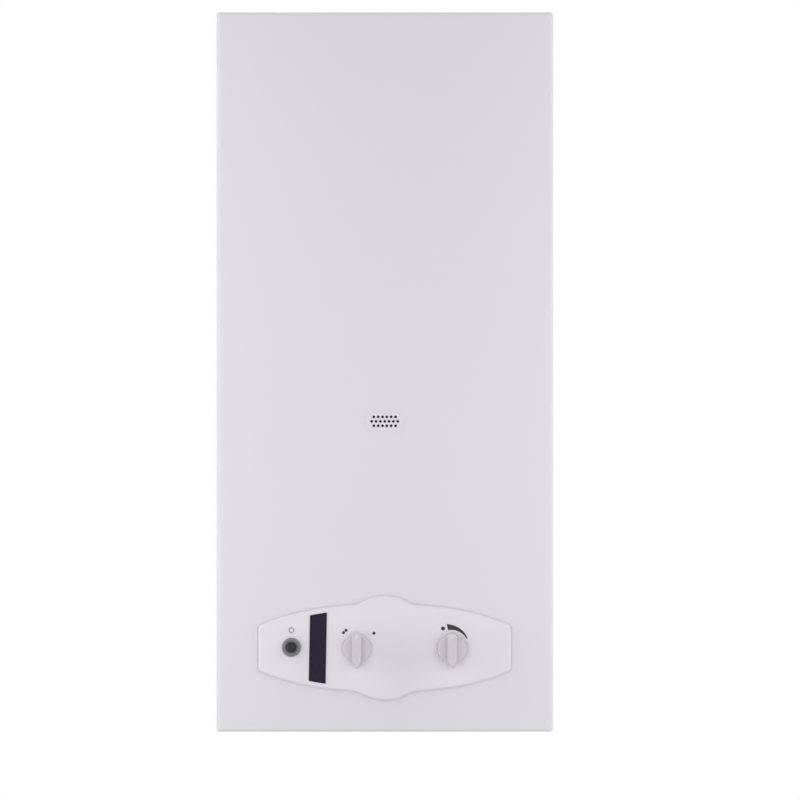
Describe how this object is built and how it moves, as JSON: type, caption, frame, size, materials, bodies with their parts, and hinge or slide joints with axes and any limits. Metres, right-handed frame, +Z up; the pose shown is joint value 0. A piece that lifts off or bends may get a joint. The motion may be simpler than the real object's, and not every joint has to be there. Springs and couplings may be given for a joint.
{
  "type": "gas tankless water heater",
  "caption": "Wall-hung gas instantaneous water heater: white sheet casing, control fascia with two knobs and an igniter button, burner, heat exchanger, draught hood and valves inside.",
  "frame": {"origin": "on the wall plane, at the middle of the casing's width and height", "axes": "+Z up, +X to the right of someone facing the controls, +Y into the wall"},
  "size_m": [0.31, 0.247, 0.662],
  "materials": {
    "white_enamel": "smooth baked enamel",
    "zinc_sheet": "zinc-coated sheet",
    "zinc_fastener": "zinc-plated, turned",
    "white_plastic": "satin moulded",
    "navy_plate": "satin film",
    "knob_plastic": "satin moulded",
    "dot_white": "filled mark",
    "spindle_brass": "turned",
    "valve_brass": "forged and machined",
    "spring_steel": "drawn wire",
    "bezel_grey": "satin moulded",
    "button_black": "satin moulded",
    "black_plastic": "moulded",
    "lead_silicone": "silicone sheath",
    "diaphragm_rubber": "moulded",
    "cast_alloy": "die cast",
    "copper": "drawn copper",
    "fin_copper": "thin copper sheet, lead-free dip",
    "burner_steel": "stainless, heat tinted",
    "ceramic": "glazed",
    "mica": "clear mica sheet",
    "aluminised": "aluminised sheet",
    "thermostat": "tinned cap on a phenolic base"
  },
  "bodies": {
    "heater": {"back_plate": "zinc_sheet", "front_case": "white_enamel", "case_screws": "zinc_fastener", "control_fascia": "white_plastic", "fascia_strip": "navy_plate", "fascia_nuts": "zinc_fastener", "gas_push_spring": "spring_steel", "piezo_bezel": "bezel_grey", "piezo_spring": "spring_steel", "piezo_body": "black_plastic", "piezo_nut": "zinc_fastener", "ignition_lead": "lead_silicone", "water_valve_body": "valve_brass", "diaphragm": "diaphragm_rubber", "water_valve_cover": "valve_brass", "cover_screws": "zinc_fastener", "water_gland": "valve_brass", "drain_plug": "valve_brass", "gas_valve_body": "cast_alloy", "gas_gland": "valve_brass", "gas_disc_spring": "spring_steel", "gas_valve_cap": "cast_alloy", "magnet_unit": "valve_brass", "connection_bracket": "zinc_sheet", "water_nipples": "valve_brass", "gas_nipple": "valve_brass", "cold_pipe": "copper", "hot_pipe": "copper", "gas_riser": "aluminised", "union_nuts": "valve_brass", "burner_bars": "burner_steel", "burner_frame": "aluminised", "gas_manifold": "aluminised", "injectors": "valve_brass", "pilot_bracket": "burner_steel", "pilot_burner": "valve_brass", "ignition_electrode": "ceramic", "thermocouple": "copper", "pilot_tube": "cast_alloy", "combustion_chamber": "copper", "sight_mica": "mica", "heating_coil": "copper", "exchanger_shell": "copper", "fin_pack": "fin_copper", "exchanger_tubes": "copper", "return_bends": "copper", "draught_hood": "aluminised", "baffle": "aluminised", "flue_collar": "aluminised", "limit_thermostats": "thermostat"},
    "water_dial": {"water_knob": "knob_plastic", "water_knob_dot": "dot_white", "water_spindle": "spindle_brass"},
    "gas_plunger": {"gas_push_rod": "spindle_brass"},
    "gas_dial": {"gas_knob": "knob_plastic", "gas_knob_dot": "dot_white", "gas_spindle": "spindle_brass"},
    "igniter_button": {"piezo_button": "button_black"},
    "water_servo": {"servo_plate": "spring_steel", "gas_disc": "cast_alloy"}
  },
  "joints": [
    {"name": "water_knob_turn", "type": "hinge", "parent": "heater", "child": "water_dial", "pos_m": [-0.0256, -0.23, -0.254], "axis": [0, -1, 0], "range_deg": [-48, 48]},
    {"name": "gas_knob_push", "type": "slide", "parent": "heater", "child": "gas_plunger", "axis": [0, 1, 0], "range_m": [0, 0.0035], "stiffness_N_per_m": 1500, "springref_m": -0.004, "deforming": ["gas_push_spring"]},
    {"name": "gas_knob_turn", "type": "hinge", "parent": "gas_plunger", "child": "gas_dial", "pos_m": [0.0618, -0.23, -0.254], "axis": [0, -1, 0], "range_deg": [-55, 26]},
    {"name": "piezo_push", "type": "slide", "parent": "heater", "child": "igniter_button", "axis": [0, 1, 0], "range_m": [0, 0.004], "stiffness_N_per_m": 1500, "springref_m": -0.004, "deforming": ["piezo_spring"]},
    {"name": "servo_lift", "type": "slide", "parent": "heater", "child": "water_servo", "axis": [1, 0, 0], "range_m": [0, 0.003], "stiffness_N_per_m": 1500, "springref_m": -0.004, "deforming": ["gas_disc_spring"]}
  ]
}
